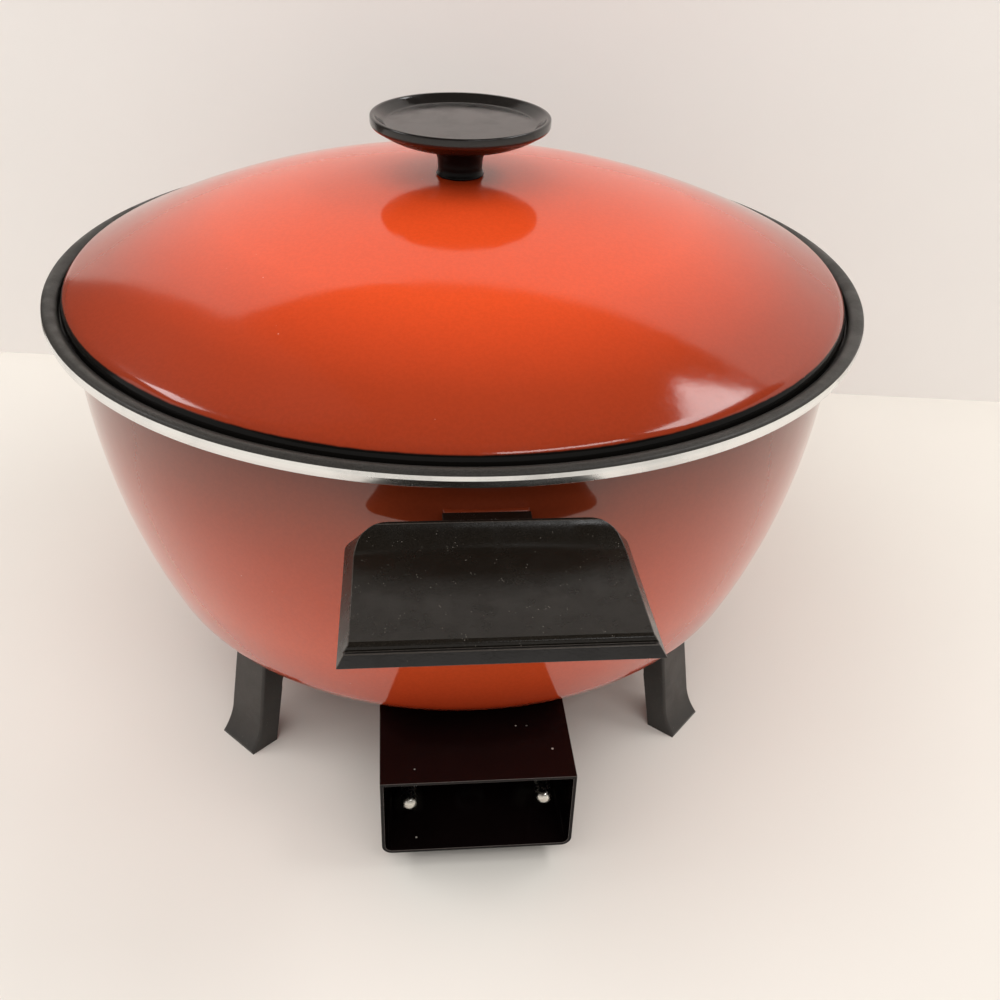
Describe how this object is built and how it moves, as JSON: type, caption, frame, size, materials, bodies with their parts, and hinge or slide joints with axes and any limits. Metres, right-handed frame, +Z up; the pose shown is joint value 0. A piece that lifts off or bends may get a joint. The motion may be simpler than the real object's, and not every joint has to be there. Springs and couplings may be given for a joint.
{
  "type": "electric skillet",
  "caption": "Deep round electric skillet: enamelled bowl on moulded legs, wing handles, loose domed lid with a dished knob, and a hooded socket for a plug-in heat control.",
  "frame": {"origin": "on the bowl's axis, at the level of the surface that the feet stand on", "axes": "+Z up along the bowl's axis; the socket hood points along -Y and the handles lie along Y; +X to the right seen from the hood"},
  "size_m": [0.26, 0.3434, 0.1909],
  "materials": {
    "enamel": "glossy",
    "phenolic": "satin",
    "black_steel": "glossy",
    "zinc_steel": "satin",
    "element_sheath": "satin",
    "nickel": "polished",
    "ceramic": "matte",
    "aluminium": "satin"
  },
  "bodies": {
    "pan": {"pan_bowl": "enamel", "handle_front": "phenolic", "handle_rear": "phenolic", "leg_front_left": "phenolic", "leg_front_right": "phenolic", "leg_rear_left": "phenolic", "leg_rear_right": "phenolic", "handle_bracket_front": "black_steel", "handle_bracket_rear": "black_steel", "probe_guard": "black_steel", "terminal_plate": "black_steel", "bracket_screws": "zinc_steel", "handle_screws": "zinc_steel", "leg_screws": "zinc_steel", "clip_screws": "zinc_steel", "guard_screws": "zinc_steel", "element_clip_left": "zinc_steel", "element_clip_right": "zinc_steel", "element_clip_rear": "zinc_steel", "heating_element": "element_sheath", "terminal_pin_left": "nickel", "terminal_pin_right": "nickel", "insulator_left": "ceramic", "insulator_right": "ceramic", "sensor_tube": "aluminium", "sensor_block": "aluminium"},
    "lid": {"lid_shell": "enamel", "lid_knob": "phenolic", "knob_screw": "zinc_steel", "knob_washer": "zinc_steel"}
  },
  "joints": [
    {"name": "lid_lift", "type": "slide", "parent": "pan", "child": "lid", "axis": [0, 0, 1], "range_m": [0, 0.12]}
  ]
}
